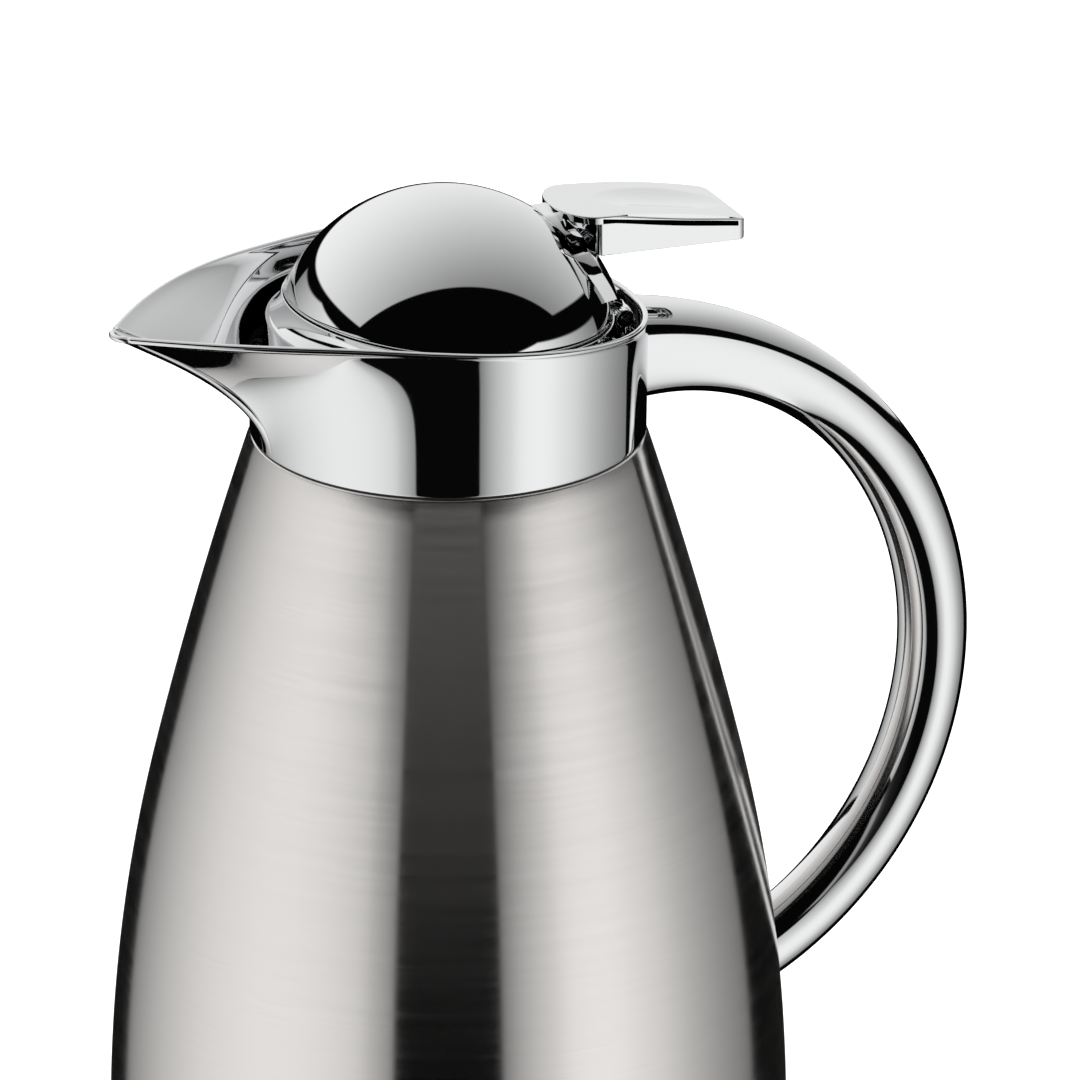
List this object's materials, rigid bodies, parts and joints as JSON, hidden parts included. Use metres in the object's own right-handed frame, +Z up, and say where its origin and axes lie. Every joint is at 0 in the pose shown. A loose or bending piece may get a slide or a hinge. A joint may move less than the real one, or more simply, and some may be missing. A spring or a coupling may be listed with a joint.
{
  "type": "insulated pouring jug",
  "caption": "Insulated pouring jug: satin steel jacket round a vacuum flask, mirror collar with a long spout, hoop handle and a domed flip lid worked by a thumb lever.",
  "frame": {"origin": "centre of the base on the table", "axes": "+Z up along the jug's axis, spout towards -X, handle towards +X"},
  "size_m": [0.2204, 0.1588, 0.251],
  "materials": {
    "satin_steel": "satin, brushed round the body",
    "mirror_steel": "mirror polished",
    "mirror_dome": "mirror polished",
    "mirror_lever": "mirror plated casting",
    "mirror_handle": "mirror plated",
    "plain_steel": "plain",
    "dark_plastic": "fine moulded texture",
    "rubber": "matt",
    "silicone": "matt translucent",
    "black_seal": "matt",
    "silvered_glass": "silvered inside the vacuum",
    "clear_glass": "clear over silvering",
    "fasteners": "zinc plated",
    "spring_wire": "drawn wire"
  },
  "bodies": {
    "jug": {"outer_shell": "satin_steel", "base_cover": "dark_plastic", "foot_ring": "rubber", "base_bracket": "plain_steel", "base_screws": "fasteners", "flask_cradle": "silicone", "flask_outer_wall": "silvered_glass", "flask_inner_wall": "clear_glass", "neck_gasket": "silicone", "seam_ring": "black_seal", "collar_spout": "mirror_steel", "neck_liner": "dark_plastic", "collar_screws": "fasteners", "handle": "mirror_handle", "handle_top_screw": "fasteners", "handle_foot_washer": "fasteners", "handle_foot_screw": "fasteners"},
    "closure": {"stopper_body": "dark_plastic", "stopper_gasket": "silicone", "seat_gasket": "silicone", "closure_ring": "mirror_steel", "hinge_pin": "fasteners", "hinge_spring": "spring_wire"},
    "lid": {"lid_dome": "mirror_dome", "lid_liner": "dark_plastic", "thumb_lever": "mirror_lever", "lever_screws": "fasteners"},
    "valve": {"seal_plate": "dark_plastic", "seal_gasket": "silicone", "seal_stem": "plain_steel", "stem_clip": "fasteners", "seal_spring": "spring_wire"}
  },
  "joints": [
    {"name": "closure_lift", "type": "slide", "parent": "jug", "child": "closure", "axis": [0, 0, 1], "range_m": [0, 0.09]},
    {"name": "lid_swing", "type": "hinge", "parent": "closure", "child": "lid", "pos_m": [0.04056, 0, 0.21668], "axis": [0, 1, 0], "range_deg": [0, 32], "stiffness_Nm_per_rad": 0.08, "springref_deg": -34.38, "deforming": ["hinge_spring"]},
    {"name": "valve_float", "type": "slide", "parent": "lid", "child": "valve", "axis": [0, 0, 1], "range_m": [0, 0.002], "stiffness_N_per_m": 300, "springref_m": -0.004, "deforming": ["seal_spring"]}
  ]
}
